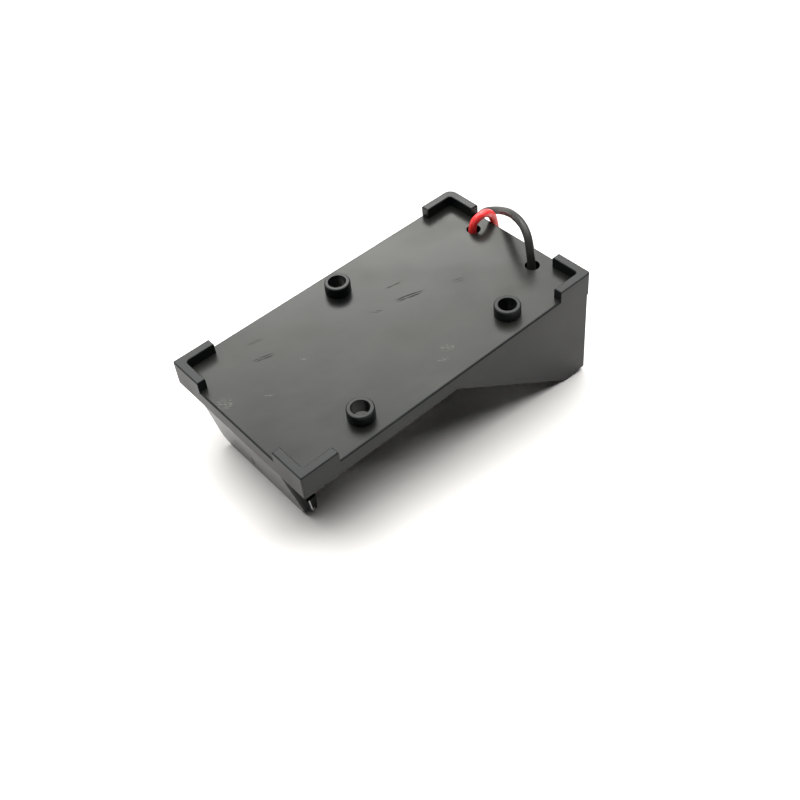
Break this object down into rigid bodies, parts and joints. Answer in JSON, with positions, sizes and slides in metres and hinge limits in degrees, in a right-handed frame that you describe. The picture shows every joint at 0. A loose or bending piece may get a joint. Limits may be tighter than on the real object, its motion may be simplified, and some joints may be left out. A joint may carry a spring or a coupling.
{
  "type": "nine-volt battery holder",
  "caption": "Moulded open holder for a nine-volt battery, with screw bosses on its plate, spring contacts at one end, a sprung tongue at the other and red and black wire leads.",
  "frame": {"origin": "centre of the plate's outer face, between its feet", "axes": "+Z out of the plate's outer face, +X towards the end with the contacts and lead holes, +Y towards the side where the red lead leaves"},
  "size_m": [0.0582, 0.041, 0.0244],
  "materials": {
    "body_plastic": "satin-gloss black moulded plastic with light scuffs",
    "nickel_sheet": "nickel-plated spring sheet, lightly brushed",
    "solder": "bright solder",
    "tinned_copper": "tinned copper strands",
    "red_sheath": "glossy red wire sheath",
    "black_sheath": "glossy black wire sheath",
    "tie_plastic": "black plastic tie"
  },
  "bodies": {
    "root": {"holder_body": "body_plastic", "contact_positive": "nickel_sheet", "contact_negative": "nickel_sheet", "red_solder": "solder", "black_solder": "solder", "red_inner_core": "tinned_copper", "black_inner_core": "tinned_copper", "red_tinned_end": "tinned_copper", "black_tinned_end": "tinned_copper", "red_lead": "red_sheath", "red_hank": "red_sheath", "black_lead": "black_sheath", "black_hank": "black_sheath", "lead_tie": "tie_plastic"}
  },
  "joints": []
}
